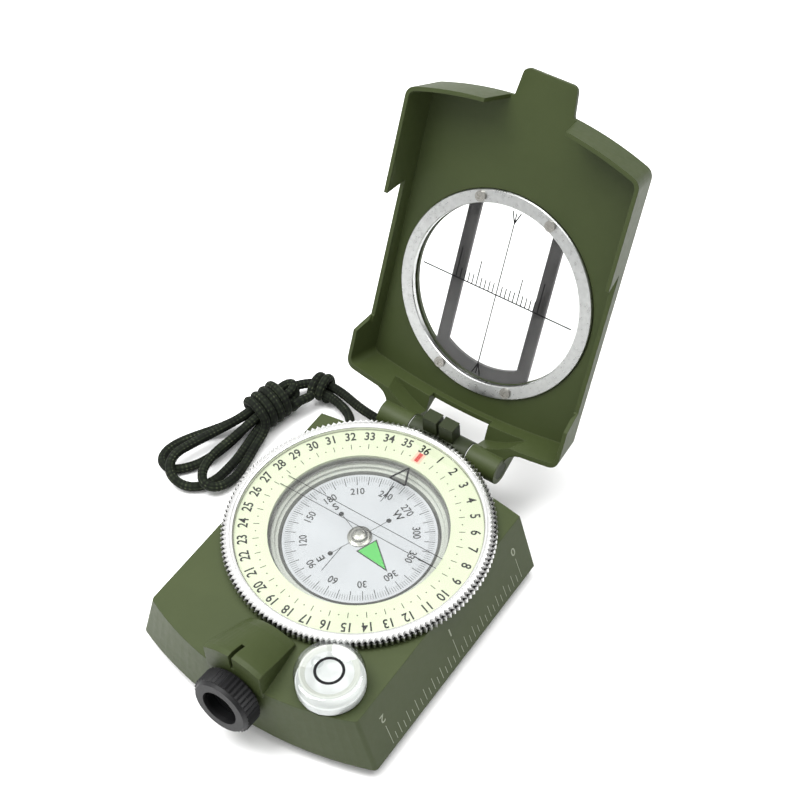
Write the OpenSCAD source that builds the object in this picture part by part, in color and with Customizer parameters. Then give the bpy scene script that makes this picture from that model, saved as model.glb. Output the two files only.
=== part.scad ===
// Folding sighting compass: a cast case with a rotating bezel, a floating card, a levelling vial,
// a focusing eyepiece, a hinged lid with a reticle lens, and a lanyard.
// Millimetres, +Z up. The origin is the mouth of the tripod socket, under the centre of the bezel,
// with the hinge towards +Y and the eyepiece towards -Y. The lid is drawn open.

/* [Case] */
// Height of the case's top face above its base
case_h = 18.4; // [17:0.1:20]
// Half width of the top face
case_top_w = 27.7; // [27.6:0.05:27.8]
// Half width where the sides flare widest
case_flare_w = 32.2; // [31:0.1:33]
// Height of that widest line
flare_z = 3.4; // [3:0.1:4]
// Half width of the base
case_foot_w = 30.6; // [29:0.1:31]
// Front edge of the top face on the centre line
case_front = 45; // [44.5:0.1:45.5]
// Back edge of the top face on the centre line
case_back = 25.5; // [25.4:0.1:25.7]
// Wall thickness of the casting
wall = 1.6; // [1.2:0.1:1.7]
// Thickness of the cover that closes the base
cover_t = 1.8; // [1.5:0.1:2]

/* [Bezel] */
// Outer radius over the knurl
bezel_r = 31; // [30.5:0.1:31.2]
// Number of knurl teeth
knurl_teeth = 150; // [120:10:180]
// Outer radius of the dial glass and the luminous ring
glass_r = 28; // [27.5:0.1:28]
// Inner radius of the luminous ring
lume_in_r = 20.5; // [20:0.1:21]

/* [Card] */
// Radius of the card
card_r = 17.6; // [17:0.1:17.8]
// Height of its printed face
card_z = 16.6; // [16.4:0.1:16.7]

/* [Level] */
// Radius of the round vial
level_r = 7.7; // [7.4:0.1:7.8]
// Place of the vial across the case
level_x = 18; // [17.8:0.1:18.4]
// Place of the vial along the case
level_y = -35; // [-35.2:0.1:-34.8]
// Height of its top
level_top = 24.3; // [23.5:0.1:24.4]

/* [Eyepiece] */
// Outer radius over the ribs of the focus ring
focus_r = 7.4; // [7:0.1:7.5]
// Upward tilt of the eyepiece
eye_tilt = 6; // [5:0.5:7]
// Height of the eyepiece's axis at the front wall
eye_z = 14; // [13.8:0.1:14.2]

/* [Lid] */
// How far open the lid is drawn
lid_angle = 115.5; // [100:0.5:120]
// Height of the hinge axis
hinge_z = 16.5; // [16.4:0.1:16.6]
// Distance of the hinge axis behind the dial centre
hinge_y = 32.8; // [32.7:0.1:33]
// Height of the lid's inner face over the hinge axis, when closed
lid_in = 8.5; // [8.4:0.1:8.8]
// Thickness of the lid's plate
lid_t = 1; // [0.9:0.1:1.1]
// Outer half width at the plate
lid_w = 28; // [27.8:0.1:28.1]
// Outer half width at the rim
lid_rim_w = 29.4; // [29.3:0.05:29.5]
// Reach of the front wall from the hinge axis, on the centre line
lid_front = 82.3; // [82:0.1:82.5]
// Outer radius of the ring that holds the reticle lens
ring_r = 24.9; // [24.5:0.1:25]
// Distance of that ring's centre from the hinge axis
ring_v = 36; // [35.8:0.1:36.2]

/* [Lanyard] */
// Diameter of the braided cord
cord_d = 2.4; // [2.4:0.1:2.4]

/* [Hidden] */
$fn = 96;
e = 0.01;

olive = [0.30, 0.36, 0.20];
dark_olive = [0.22, 0.27, 0.15];
silver = [0.78, 0.78, 0.76];
steel = [0.62, 0.62, 0.60];
brass_c = [0.75, 0.62, 0.30];
lume_c = [0.90, 0.94, 0.82];
clear_c = [0.85, 0.92, 0.90, 0.35];
white_c = [0.93, 0.93, 0.92];
black_c = [0.10, 0.10, 0.10];
grey_c = [0.33, 0.32, 0.31];
cord_c = [0.16, 0.19, 0.12];

// Plan curves of the case and the lid
front_arc_r = 91.3;
back_arc_r = 170;
corner_r = 1.2;
lid_corner_r = 2.6;

// Bezel and capsule stack, heights from the base
bezel_z = case_h + 0.3;
bezel_floor = 19.4;
bezel_top = 21.2;
hub_r = 23.8;
hub_clear = 0.1;
hub_in_r = 22;
hub_z = 15;
groove_z = 15.8;
groove_h = 0.65;
lume_top = 20.1;
glass_top = 20.9;
bowl_r = 21.7;
bowl_foot_z = 4.6;
bowl_foot_t = 1.4;
bowl_foot_r = 27;
bowl_foot_back = 22.6;
bowl_floor = 12.2;
bowl_lip = 19.1;
seat_r = 20.7;
capsule_screw_r = 25;
pivot_tip = 17.2;

// Screw corners of the base cover
post_x = 24;
post_front = -35;
post_back = 18;
screw_r = 1.1;

// Hinge
knuckle_r = 3.3;
knuckle_in = 8.2;
knuckle_out = 16.4;
block_w = 7.9;
pin_r = 1.2;
pin_clear = 0.05;

// Lid, in its closed frame with the hinge axis as origin
lid_wall = 0.95;
lid_rear = 4.4;
rear_draft = 1.5;
lid_rim = 0.1;
low_rim = 5.4;
side_cut_front = 52;
side_cut_back = 16.5;
lens_open_r = 21.6;
lens_fit = 0.8;
ring_face = 7.8;
rear_gap = 7;
window_z = 1.4;
window_t = 0.95;

// Lanyard: ear on the back face, and the cord's way from the hank through it and back, by hand
lug_x = -21;
lug_y = 28.4;
lug_z = 8;
lug_t = 3;
hank_h = 9.2;
knot_at = [-41.2, 39.4];
lead = [
  [-45.6, 31, 3.4], [-44.8, 33.4, 3.3], [-43.6, 35.8, 3.2], [-41.6, 37.6, 3.1], [-38.8, 38.2, 3],
  [-35.6, 37.8, 3.1], [-32.2, 36.6, 3.6], [-29, 34.6, 4.6], [-26.6, 31.8, 6.2], [-24.2, 29.2, 7.6],
  [-21, 28.4, 8], [-17.8, 28.8, 7.9], [-15.4, 30.8, 7.4], [-15.4, 33.6, 6.6], [-17.6, 35.8, 5.9],
  [-21, 37, 5.4], [-24.8, 37.6, 5], [-28.6, 38.4, 4.4], [-32.4, 39.6, 3.8], [-36, 40.6, 3.3],
  [-39.6, 41, 3.1], [-43, 40, 3.1], [-46, 37.6, 3.2], [-48, 34.4, 3.3], [-49, 31, 3.4]
];

// ---------------------------------------------------------------- helpers

function arc(c, r, a0, a1, n) =
  [for (i = [0:n]) [c[0] + r * cos(a0 + (a1 - a0) * i / n), c[1] + r * sin(a0 + (a1 - a0) * i / n)]];

// Outline with straight sides, bowed front and back edges and round corners.
// w: half width; yf, yb: front and back apex; rf, rb: radii of the bows; cf, cb: corner radii.
function plan(w, yf, rf, yb, rb, cf, cb) =
  let (
    fc = [0, yf + rf],
    bc = [0, yb - rb],
    f = [w - cf, fc[1] - sqrt(pow(rf - cf, 2) - pow(w - cf, 2))],
    b = [w - cb, bc[1] + sqrt(pow(rb - cb, 2) - pow(w - cb, 2))],
    af = atan2(f[1] - fc[1], f[0]),
    ab = atan2(b[1] - bc[1], b[0])
  )
  concat(
    arc(fc, rf, -180 - af, af, 24), arc(f, cf, af, 0, 6),
    arc(b, cb, 0, ab, 6), arc(bc, rb, ab, 180 - ab, 24),
    arc([-b[0], b[1]], cb, 180 - ab, 180, 6), arc([-f[0], f[1]], cf, 180, 180 - af, 6)
  );

// Zigzag outline of a knurled ring
function knurl(r_root, r_tip, n) =
  [for (i = [0:2 * n - 1]) let (r = i % 2 == 0 ? r_tip : r_root) [r * cos(180 * i / n), r * sin(180 * i / n)]];

module ring(r_out, r_in, z0, z1) {
  translate([0, 0, z0]) difference() {
    cylinder(r = r_out, h = z1 - z0);
    translate([0, 0, -1]) cylinder(r = r_in, h = z1 - z0 + 2);
  }
}

module disc(r, z0, z1) {
  translate([0, 0, z0]) cylinder(r = r, h = z1 - z0);
}

// Countersunk screw: head top at z = 0, shank downwards, cross recess in the head
module screw(head_r, head_h, shank_r, length) {
  difference() {
    union() {
      translate([0, 0, -head_h]) cylinder(r1 = shank_r, r2 = head_r, h = head_h);
      translate([0, 0, -length]) cylinder(r = shank_r, h = length - head_h + e);
    }
    for (a = [0, 90])
      rotate([0, 0, a]) translate([-head_r * 0.6, -head_r * 0.13, -head_h * 0.45])
        cube([head_r * 1.2, head_r * 0.26, head_h]);
  }
}

// Pan screw: underside of the head at z = 0
module pan_screw(head_r, head_h, shank_r, length) {
  difference() {
    union() {
      cylinder(r = head_r, h = head_h);
      translate([0, 0, -length]) cylinder(r = shank_r, h = length + e);
    }
    for (a = [0, 90])
      rotate([0, 0, a]) translate([-head_r * 0.62, -head_r * 0.14, head_h * 0.45])
        cube([head_r * 1.24, head_r * 0.28, head_h]);
  }
}

// Places children in the lid's closed frame: x across, -y away from the hinge, +z outwards
module lid_frame() {
  translate([0, hinge_y, hinge_z]) rotate([-lid_angle, 0, 0]) children();
}

// Places children on the eyepiece's axis, +z out of the eyepiece
module eye_frame() {
  translate([0, -case_front, eye_z]) rotate([90 - eye_tilt, 0, 0]) children();
}

module cylinder_x(r, x0, x1) {
  translate([x0, 0, 0]) rotate([0, 90, 0]) cylinder(r = r, h = x1 - x0);
}

// ---------------------------------------------------------------- case

module case_plan(w, grow) {
  polygon(plan(w, -case_front - grow, front_arc_r + grow, case_back + 2, back_arc_r, corner_r, corner_r));
}

// Flared block of the case between its base and its top face
module case_block() {
  flare_grow = 0.9;
  intersection() {
    union() {
      translate([0, 0, flare_z])
        linear_extrude(height = case_h - flare_z, slices = 1, scale = [case_top_w / case_flare_w, 0.98])
          case_plan(case_flare_w, flare_grow);
      mirror([0, 0, 1]) translate([0, 0, -flare_z])
        linear_extrude(height = flare_z, slices = 1, scale = [case_foot_w / case_flare_w, 0.97])
          case_plan(case_flare_w, flare_grow);
    }
    back_bow();
  }
}

// Solid whose rear side is the upright, bowed back face of the case
module back_bow() {
  translate([0, case_back - back_arc_r, -1]) cylinder(r = back_arc_r, h = 41, $fn = 720);
}

module case_hollow() {
  translate([0, 0, cover_t - 1])
    linear_extrude(height = case_h - wall - cover_t + 1, slices = 1, scale = [0.885, 0.98])
      polygon(plan(30.2, -43.6, 90, 23.6, 170, corner_r, corner_r));
}

// Arched hood over the eyepiece: sections from the front wall back and down to the bezel, each with
// its place along the case, half width, height of the shoulders and rise of the crown over them
module sight_hood() {
  sections = [
    [-45.1, 7.4, 24.6, 2.3], [-43.8, 7.4, 24.6, 2.3], [-42.6, 7.3, 24.2, 2.3], [-38, 6.9, 22.2, 2.4],
    [-34, 6.4, 20.6, 2.3], [-31.6, 6.1, 19.4, 2.1]
  ];
  steps = 14;
  n = steps + 3;
  points = [for (s = sections) each concat(
    [[s[1], s[0], case_h - 1]],
    [for (i = [0:steps]) let (t = 1 - 2 * i / steps) [s[1] * t, s[0], s[2] + s[3] * (1 - t * t)]],
    [[-s[1], s[0], case_h - 1]]
  )];
  last = (len(sections) - 1) * n;
  polyhedron(points, concat(
    [[for (k = [n - 1:-1:0]) k]],
    [for (i = [0:len(sections) - 2], k = [0:n - 1]) let (a = i * n + k, b = i * n + (k + 1) % n) each
      [[a, b, b + n], [a, b + n, a + n]]],
    [[for (k = [0:n - 1]) last + k]]
  ));
}

module sight_notch() {
  slit_w = 0.9;
  translate([-slit_w / 2, -47, 22.4]) cube([slit_w, 6.4, 8]);
}

module cover_posts() {
  for (x = [-post_x, post_x], y = [post_front, post_back]) translate([x, y, 0]) children();
}

module base_housing() {
  color(olive) difference() {
    union() {
      difference() {
        union() {
          case_block();
          sight_hood();
        }
        case_hollow();
        // room for the eyepiece and prism under the hood
        translate([-5.5, -43, case_h - wall - 1]) cube([11, 9, 4.6]);
      }
      cover_posts() translate([0, 0, cover_t]) cylinder(r = 2.6, h = case_h - wall - cover_t + 0.4);
    }
    translate([0, 0, -1]) cube([100, 120, 2 * (cover_t + 1)], center = true);
    disc(hub_r + hub_clear, hub_z - 0.4, case_h + 1);
    disc(hub_r + 0.6, hub_z - 0.4, case_h - wall);
    translate([level_x, level_y, 0]) disc(level_r - 0.35, case_h - 0.5, case_h + 1);
    sight_notch();
    eye_frame() translate([0, 0, -4]) cylinder(r = 5.6, h = 10);
    cover_posts() translate([0, 0, cover_t - 1]) cylinder(r = screw_r, h = 9);
    // screw holes of the hinge block
    block_screw_places() cylinder(r = 0.85, h = 40);
    // hole for the lug's rivet
    translate([lug_x, 15, lug_z]) rotate([-90, 0, 0]) cylinder(r = 1, h = 20);
  }
}

module bottom_cover() {
  color(dark_olive) difference() {
    union() {
      intersection() {
        case_block();
        translate([0, 0, cover_t / 2]) cube([100, 120, cover_t], center = true);
      }
      disc(8, cover_t - e, 4);
      for (a = [30:120:270])
        rotate([0, 0, a]) translate([capsule_screw_r, 0, cover_t - e]) cylinder(r = 2, h = bowl_foot_z - cover_t + e);
    }
    disc(5, -1, 10);
    for (a = [30:120:270]) rotate([0, 0, a]) translate([capsule_screw_r, 0, cover_t]) cylinder(r = 0.8, h = 9);
    cover_posts() {
      translate([0, 0, -1]) cylinder(r = screw_r + 0.1, h = 5);
      translate([0, 0, -e]) cylinder(r1 = 2.1, r2 = screw_r + 0.1, h = 1.1);
    }
  }
}

module cover_screws() {
  color(steel) cover_posts() rotate([180, 0, 0]) translate([0, 0, -0.1]) screw(1.9, 1, screw_r - 0.02, 7);
}

module tripod_bush() {
  color(brass_c) difference() {
    union() {
      disc(5, 0, 4);
      disc(6.4, 4, 4.6);
    }
    disc(2.55, -1, 10);
  }
}

module capsule_bowl() {
  color(white_c) difference() {
    rotate_extrude() polygon([
      [0, bowl_floor - 1.2], [bowl_r - 1.8, bowl_floor - 1.2], [bowl_r - 1.8, bowl_foot_z],
      [bowl_foot_r, bowl_foot_z], [bowl_foot_r, bowl_foot_z + bowl_foot_t],
      [bowl_r, bowl_foot_z + bowl_foot_t], [bowl_r, bowl_lip], [seat_r, bowl_lip], [seat_r, 18],
      [19.9, 18], [19.9, 17.6], [19.2, 17.6], [19.2, 16.9], [18.4, 16.9], [18.4, bowl_floor], [0, bowl_floor]
    ]);
    for (a = [30:120:270]) rotate([0, 0, a]) translate([capsule_screw_r, 0, 0]) cylinder(r = 0.9, h = 10);
    translate([0, 0, 5]) cylinder(r = 1, h = 10);
    // the foot stops short of the back wall
    translate([-30, bowl_foot_back, bowl_foot_z - 1]) cube([60, 10, bowl_foot_t + 2]);
  }
}

module capsule_screws() {
  color(steel) for (a = [30:120:270]) rotate([0, 0, a])
    translate([capsule_screw_r, 0, bowl_foot_z + bowl_foot_t]) pan_screw(1.5, 1, 0.78, 3.4);
}

module pivot_post() {
  color(brass_c) {
    disc(0.98, bowl_floor - 1.2, 15);
    translate([0, 0, 15 - e]) cylinder(r1 = 0.8, r2 = 0.15, h = pivot_tip - 15 + e);
  }
}

module capsule_gasket() { color(black_c) ring(seat_r - 0.05, 19.95, 18, 18.2); }

module capsule_crystal() { color(clear_c) disc(seat_r - 0.2, 18.2, 19); }

// ---------------------------------------------------------------- floating card

module dial_card() { color(white_c) ring(card_r, 1.5, card_z - 0.4, card_z); }

module card_magnet() {
  color(steel) difference() {
    translate([-12, -2, card_z - 2]) cube([24, 4, 1.6]);
    disc(1.5, 10, 20);
  }
}

module jewel_cap() {
  dome_r = 2.8;
  color(steel) difference() {
    rotate_extrude() polygon(concat(
      [[0, card_z], [dome_r, card_z], [dome_r, card_z + 0.3]],
      [[2.2, card_z + 0.6]],
      [for (a = [0:10:90]) [1.9 * cos(a), card_z + 0.6 + 0.8 * sin(a)]]
    ));
    translate([0, 0, card_z - e]) cylinder(r1 = 1.1, r2 = 0.5, h = 0.95);
  }
}

// ---------------------------------------------------------------- bezel

module bezel_ring() {
  root_r = bezel_r - 0.55;
  land_r = root_r - 0.15;
  knurl_z = bezel_z + 0.3;
  knurl_top = bezel_top - 0.6;
  color(silver) difference() {
    union() {
      disc(land_r, bezel_z, knurl_z);
      translate([0, 0, knurl_z]) linear_extrude(height = knurl_top - knurl_z)
        polygon(knurl(root_r, bezel_r, knurl_teeth));
      translate([0, 0, knurl_top]) cylinder(r1 = land_r, r2 = bezel_r - 1.7, h = bezel_top - knurl_top);
      disc(hub_r, hub_z, bezel_z + 0.1);
    }
    disc(hub_in_r, hub_z - 1, bezel_top + 1);
    disc(glass_r + 0.05, bezel_floor, bezel_top + 1);
    ring(hub_r + 1, hub_r - 0.9, groove_z, groove_z + groove_h);
  }
}

module luminous_ring() { color(lume_c) ring(glass_r, lume_in_r, bezel_floor, lume_top); }

module bezel_glass() { color(clear_c) disc(glass_r, lume_top, glass_top); }

module bezel_snap_ring() {
  color(steel) difference() {
    ring(hub_r + 0.5, hub_r - 0.85, groove_z + 0.05, groove_z + groove_h - 0.1);
    translate([0, 20, 10]) cube([3, 20, 10]);
  }
}

// ---------------------------------------------------------------- level

module level_base() {
  color(white_c) translate([level_x, level_y, 0]) disc(level_r - 0.4, case_h - 0.5, case_h + 0.5);
}

module level_vial() {
  z0 = case_h + 0.5;
  color(clear_c) translate([level_x, level_y, 0]) difference() {
    rotate_extrude() polygon([
      [0, z0], [level_r, z0], [level_r, level_top - 1], [level_r - 0.5, level_top - 0.2],
      [level_r - 1.2, level_top], [0, level_top]
    ]);
    disc(5.4, z0 + 0.9, level_top - 1.6);
  }
}

// ---------------------------------------------------------------- eyepiece

module eyepiece_tube() {
  color(black_c) eye_frame() difference() {
    union() {
      disc(5.58, -3, 4.7);
      disc(5.9, -3.6, -2.6);
    }
    disc(4.9, -5, 6);
  }
}

module focus_ring() {
  ribs = 40;
  root_r = focus_r - 0.4;
  land_r = root_r - 0.1;
  color(black_c) eye_frame() difference() {
    union() {
      disc(land_r, 1, 1.3);
      translate([0, 0, 1.3]) linear_extrude(height = 3.9) polygon(knurl(root_r, focus_r, ribs));
      translate([0, 0, 5.2]) cylinder(r1 = land_r, r2 = focus_r - 0.9, h = 0.8);
    }
    disc(5.66, 0, 4.9);
    disc(4.45, 0, 8);
  }
}

module lens_cell() {
  color(black_c) eye_frame() difference() {
    disc(4.82, -1.4, 2.8);
    disc(4.1, 0.4, 4);
    disc(3.5, -3, 4);
  }
}

module eye_lens() {
  color(clear_c) eye_frame() rotate_extrude() polygon(concat(
    [[0, 0.4], [4.08, 0.4], [4.08, 1]], [for (a = [0:9:90]) [4 * cos(a), 1 + 0.8 * sin(a)]]
  ));
}

module lens_retainer() { color(black_c) eye_frame() ring(4.08, 3.5, 2, 2.6); }

module sight_prism() {
  color(clear_c) translate([-3.6, -40.2, 9.5]) rotate([90, 0, 90])
    linear_extrude(height = 7.2) polygon([[0, 0], [7, 0], [0, 7]]);
}

module prism_clip() {
  color(steel) {
    translate([-4.4, -40.4, 8.8]) cube([0.7, 8, 8]);
    translate([3.7, -40.4, 8.8]) cube([0.7, 8, 8]);
    translate([-4.4, -40.4, 8.8]) cube([8.8, 8, 0.7]);
    translate([-7.6, -40.4, case_h - wall - 0.7]) cube([3.9, 8, 0.7]);
    translate([3.7, -40.4, case_h - wall - 0.7]) cube([3.9, 8, 0.7]);
  }
}

// ---------------------------------------------------------------- hinge

module block_screw_places() {
  for (x = [-5, 5]) translate([x, 0, 12.4]) rotate([-90, 0, 0]) children();
}

module hinge_block() {
  prong_w = 3.8;
  prong_gap = 0.7;
  prong_h = 7.5;
  pad_y = case_back + 2.1;
  color(dark_olive) difference() {
    union() {
      translate([0, hinge_y, hinge_z]) {
        cylinder_x(knuckle_r, -block_w, block_w);
        for (x = [-prong_gap / 2 - prong_w, prong_gap / 2])
          translate([x, -1.4, 0]) difference() {
            cube([prong_w, 3.2, prong_h]);
            translate([-1, -0.6, prong_h]) rotate([45, 0, 0]) cube([prong_w + 2, 1, 1]);
            translate([-1, 3.8, prong_h - 1.4]) rotate([45, 0, 0]) cube([prong_w + 2, 1.4, 1.4]);
          }
      }
      translate([-block_w, case_back - 1, 10.2]) cube([2 * block_w, pad_y - case_back + 1, 7.6]);
      translate([-block_w, case_back - 1, 13.8]) cube([2 * block_w, hinge_y - case_back + 1, 3.2]);
    }
    back_bow();
    // relief for the edge of the bezel
    disc(bezel_r + 0.35, bezel_z - 0.35, bezel_top + 6);
    translate([0, hinge_y, hinge_z]) cylinder_x(pin_r + pin_clear, -30, 30);
    block_screw_places() cylinder(r = 0.85, h = pad_y - 0.15);
  }
}

module block_screws() {
  color(steel) block_screw_places() translate([0, 0, 23.05]) rotate([180, 0, 0])
    pan_screw(1.4, 0.9, 0.83, 4.2);
}

module hinge_pin() {
  color(steel) translate([0, hinge_y, hinge_z]) {
    cylinder_x(pin_r, -knuckle_out + 0.2, knuckle_out - 0.5);
    cylinder_x(2, knuckle_out - 0.6, knuckle_out - 0.05);
  }
}

module hinge_washers() {
  color(white_c) translate([0, hinge_y, hinge_z]) for (s = [-1, 1]) difference() {
    cylinder_x(knuckle_r - 0.3, min(s * block_w, s * 8.15), max(s * block_w, s * 8.15));
    cylinder_x(pin_r + pin_clear, -30, 30);
  }
}

// ---------------------------------------------------------------- lid

// Outer or inner plan of the lid, in its closed frame
module lid_plan(w, inset, corner) {
  polygon(plan(
    w, -lid_front + inset, front_arc_r - inset, -lid_rear - inset, back_arc_r - inset, corner, corner
  ));
}

// Drafted box of the lid's plan: the sides lean in, and so does the rear; the front stands upright
module lid_block(w0, w1, inset, corner, z0, z1) {
  length = lid_front - lid_rear;
  translate([0, -lid_front, z0])
    linear_extrude(height = z1 - z0, slices = 1, scale = [w1 / w0, (length - rear_draft) / length])
      translate([0, lid_front]) lid_plan(w0, inset, corner);
}

module lid_box() { lid_block(lid_rim_w, lid_w, 0, lid_corner_r, lid_rim, lid_in + lid_t); }

// The hollow starts below the rim, so its foot is wider in the same draft
module lid_hollow() {
  below = 1;
  spread = (lid_rim_w - lid_w) * below / (lid_in - lid_rim);
  lid_block(lid_rim_w - lid_wall + spread, lid_w - lid_wall, lid_wall, lid_corner_r - 0.8, lid_rim - below, lid_in);
}

// Low part of each side wall, where fingers reach the bezel; its ends slope
module side_cuts() {
  for (s = [-1, 1]) translate([s * 30 - 6, 0, 0]) rotate([90, 0, 90]) linear_extrude(height = 12)
    polygon([
      [-side_cut_front, -2], [-side_cut_front, 0.1], [-side_cut_front - 2.5, low_rim],
      [-side_cut_back - 3, low_rim], [-side_cut_back, 0.1], [-side_cut_back, -2]
    ]);
}

// Front opening that lets the hood and the eyepiece through
module front_gap() {
  translate([0, -lid_front - 3, 0]) rotate([-90, 0, 0]) linear_extrude(height = 12)
    polygon([[-10.6, 2], [10.6, 2], [8.4, -lid_in], [-8.4, -lid_in]]);
}

module lid_tab() {
  tab_w = 6.6;
  tab_out = 88.6;
  translate([0, 0, lid_in]) linear_extrude(height = lid_t) {
    polygon(concat(
      [[-8.2, -lid_front + 2], [-7.4, -lid_front - 0.2]],
      arc([-tab_w + 1.4, -tab_out + 1.4], 1.6, 190, 270, 6),
      arc([tab_w - 1.4, -tab_out + 1.4], 1.6, 270, 350, 6),
      [[7.4, -lid_front - 0.2], [8.2, -lid_front + 2]]
    ));
  }
}

// Space swept by the bezel, in the lid's closed frame
module bezel_room() {
  translate([0, -hinge_y, -8]) cylinder(r = bezel_r + 0.35, h = 8 + bezel_top + 0.4 - hinge_z);
}

// Arms from the rear wall down to the knuckles, flared towards the corners, and the knuckles
module knuckle_webs() {
  flare_r = 4;
  flare_y = -5.5;
  top_z = lid_in + 0.6;
  for (s = [0, 1]) mirror([s, 0, 0]) {
    difference() {
      intersection() {
        translate([knuckle_in, 0, 0]) rotate([90, 0, 90]) linear_extrude(height = 14)
          polygon([
            [-lid_rear - rear_draft - 0.8, top_z], [-lid_rear - rear_draft + 0.2, top_z], [-4.2, 7.5],
            [-1.2, 5.2], [1.9, 2.6], [0, lid_rim], [-lid_rear - 1, lid_rim]
          ]);
        translate([0, 0, -1]) linear_extrude(height = 12) polygon(concat(
          [[knuckle_in, -9], [knuckle_in, 4], [knuckle_out, 4]],
          arc([knuckle_out + flare_r, flare_y + flare_r], flare_r, 180, 262, 10),
          [[knuckle_out + flare_r, -9]]
        ));
      }
      bezel_room();
    }
    cylinder_x(knuckle_r, knuckle_in, knuckle_out);
  }
}

module lid_shell() {
  color(olive) lid_frame() difference() {
    union() {
      difference() {
        lid_box();
        lid_hollow();
        side_cuts();
        front_gap();
        bezel_room();
      }
      lid_tab();
      knuckle_webs();
      // raised rim round the window, outside
      translate([0, -ring_v, 0]) disc(25.6, lid_in + lid_t - 0.4, lid_in + window_z + window_t);
    }
    // stepped seat for the retaining ring, the lens and the window frame
    translate([0, -ring_v, 0]) {
      disc(ring_r + 0.1, lid_in - 2, lid_in + 0.5);
      disc(lens_open_r + lens_fit, lid_in - 2, lid_in + window_z);
      disc(lens_open_r, lid_in - 2, lid_in + 5);
    }
    // gap between the knuckles
    translate([-knuckle_in, -lid_rear - 3, -5]) cube([2 * knuckle_in, 12, 5 + rear_gap]);
    cylinder_x(pin_r + pin_clear, -30, 30);
    cylinder_x(2.1, knuckle_out - 0.65, 30);
    // screw holes under the retaining ring
    lens_screw_places() translate([0, 0, lid_in + 0.3]) cylinder(r = 0.6, h = 1);
  }
}

module lens_screw_places() {
  for (x = [-9.1, 9.1], y = [-21.4, 21.4]) translate([x, y - ring_v, 0]) children();
}

module lens_ring() {
  in_r = lens_open_r + 0.1;
  color(silver) lid_frame() difference() {
    translate([0, -ring_v, 0]) rotate_extrude() polygon([
      [in_r, ring_face + 0.2], [in_r + 0.15, ring_face], [ring_r - 0.2, ring_face], [ring_r, ring_face + 0.25],
      [ring_r, lid_in + 0.5], [in_r, lid_in + 0.5]
    ]);
    lens_screw_places() translate([0, 0, lid_in - 2]) cylinder(r = 0.65, h = 4);
  }
}

module lid_lens() {
  color(clear_c) lid_frame() translate([0, -ring_v, 0])
    disc(lens_open_r + lens_fit - 0.05, lid_in + 0.5, lid_in + window_z);
}

module lens_screws() {
  color(silver) lid_frame() lens_screw_places() translate([0, 0, ring_face]) rotate([180, 0, 20])
    pan_screw(1.3, 0.5, 0.58, 1.8);
}

// Frame behind the lens: two straight bars joined by an arc on the hinge's side
module window_frame() {
  bar_x = 11;
  bar_w = 3;
  out_r = lens_open_r - 0.05;
  color(grey_c) lid_frame() translate([0, -ring_v, lid_in + window_z]) linear_extrude(height = window_t)
    intersection() {
      circle(r = out_r);
      union() {
        for (x = [-bar_x, bar_x]) translate([x - bar_w / 2, -30]) square([bar_w, 60]);
        difference() {
          translate([-bar_x, 0]) square([2 * bar_x, 30]);
          circle(r = out_r - bar_w);
        }
      }
    }
}

// ---------------------------------------------------------------- lanyard

// Stations and section frames of a tube swept along hand-set points
function unit(v) = v / norm(v);
function bend(p0, p1, p2, p3, t) =
  0.5 * ((2 * p1) + (p2 - p0) * t + (2 * p0 - 5 * p1 + 4 * p2 - p3) * t * t
    + (3 * p1 - p0 - 3 * p2 + p3) * t * t * t);
function smooth(p, k) =
  let (n = len(p))
  concat(
    [for (i = [0:n - 2], j = [0:k - 1])
      bend(p[max(i - 1, 0)], p[i], p[i + 1], p[min(i + 2, n - 1)], j / k)],
    [p[n - 1]]
  );

module tube(route, r, sides, per_leg) {
  p = smooth(route, per_leg);
  n = len(p);
  points = [for (i = [0:n - 1])
    let (
      t = unit(p[min(i + 1, n - 1)] - p[max(i - 1, 0)]),
      a = unit(cross(t, [0, 0, 1])),
      b = cross(a, t)
    )
    for (k = [0:sides - 1]) p[i] + r * (cos(360 * k / sides) * a + sin(360 * k / sides) * b)];
  faces = concat(
    [[for (k = [0:sides - 1]) k]],
    [for (i = [0:n - 2], k = [0:sides - 1])
      let (m = (k + 1) % sides)
      [i * sides + k, (i + 1) * sides + k, (i + 1) * sides + m, i * sides + m]],
    [[for (k = [sides - 1:-1:0]) (n - 1) * sides + k]]
  );
  polyhedron(points, faces);
}

// Ear with the cord's hole, and its rivet through the wall
module lanyard_lug() {
  ear_r = 3.1;
  root_y = 22;
  color(dark_olive) {
    difference() {
      translate([lug_x - lug_t / 2, 0, 0]) rotate([90, 0, 90]) linear_extrude(height = lug_t) difference() {
        union() {
          translate([lug_y, lug_z]) circle(r = ear_r);
          translate([root_y, lug_z - ear_r]) square([lug_y - root_y, 2 * ear_r]);
        }
        translate([lug_y, lug_z]) circle(r = 1.75);
      }
      back_bow();
    }
    intersection() {
      translate([lug_x, root_y - 0.4, lug_z]) rotate([-90, 0, 0]) cylinder(r = 0.98, h = 5);
      back_bow();
    }
  }
}

module lanyard_lead() { color(cord_c) tube(lead, cord_d / 2, 8, 2); }

module lanyard_knot() { color(cord_c) translate(knot_at) disc(3.7, 0.1, 7); }

// Outer shape of the folded and wrapped part: two round ends and their common tangents
module lanyard_hank() {
  a = [-52.6, 4.2];
  b = [-47.6, 28.2];
  ra = 10.2;
  rb = 5.8;
  along = atan2(b[1] - a[1], b[0] - a[0]);
  lean = acos((ra - rb) / norm(b - a));
  color(cord_c) linear_extrude(height = hank_h) polygon(concat(
    arc(a, ra, along + lean, along + 360 - lean, 32), arc(b, rb, along - lean, along + lean, 24)
  ));
}

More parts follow.
